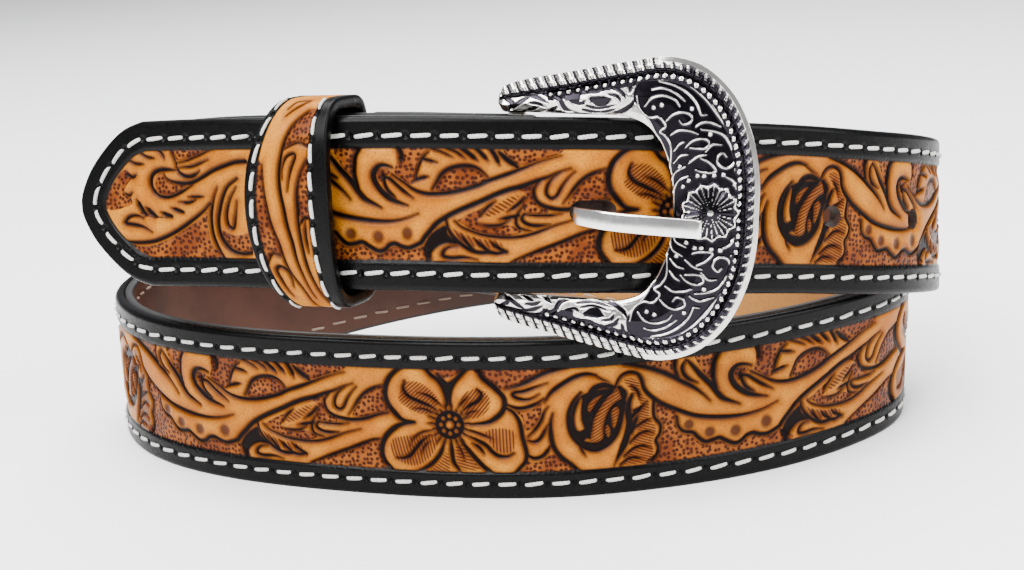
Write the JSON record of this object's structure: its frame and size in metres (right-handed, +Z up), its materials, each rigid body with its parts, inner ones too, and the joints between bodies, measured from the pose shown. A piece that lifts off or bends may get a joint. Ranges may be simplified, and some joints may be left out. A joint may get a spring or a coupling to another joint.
{
  "type": "western tooled belt",
  "caption": "Tooled leather strap buckled with an engraved horseshoe buckle and a keeper, wound in two turns and standing on its lower edge.",
  "frame": {"origin": "on the surface, under the middle of the belt's box", "axes": "+Z up, -Y towards the buckle's face, +X along the free end towards the buckle"},
  "size_m": [0.217, 0.1226, 0.1003],
  "materials": {
    "tooled_leather": "floral tooling in tan over dark red-brown matting, black glazed borders and edges, white lockstitch",
    "lining_leather": "smooth waxed brown lining with a tan stretch",
    "keeper_leather": "leaf tooling in tan with black stitched edges",
    "cast_silver": "engraved scrolls, blackened in the recesses",
    "plain_steel": "polished"
  },
  "bodies": {
    "root": {"strap_outer": "tooled_leather", "strap_lining": "lining_leather", "keeper": "keeper_leather", "buckle_frame": "cast_silver", "buckle_tongue": "plain_steel", "fold_stud_upper": "plain_steel", "fold_stud_lower": "plain_steel"}
  },
  "joints": []
}
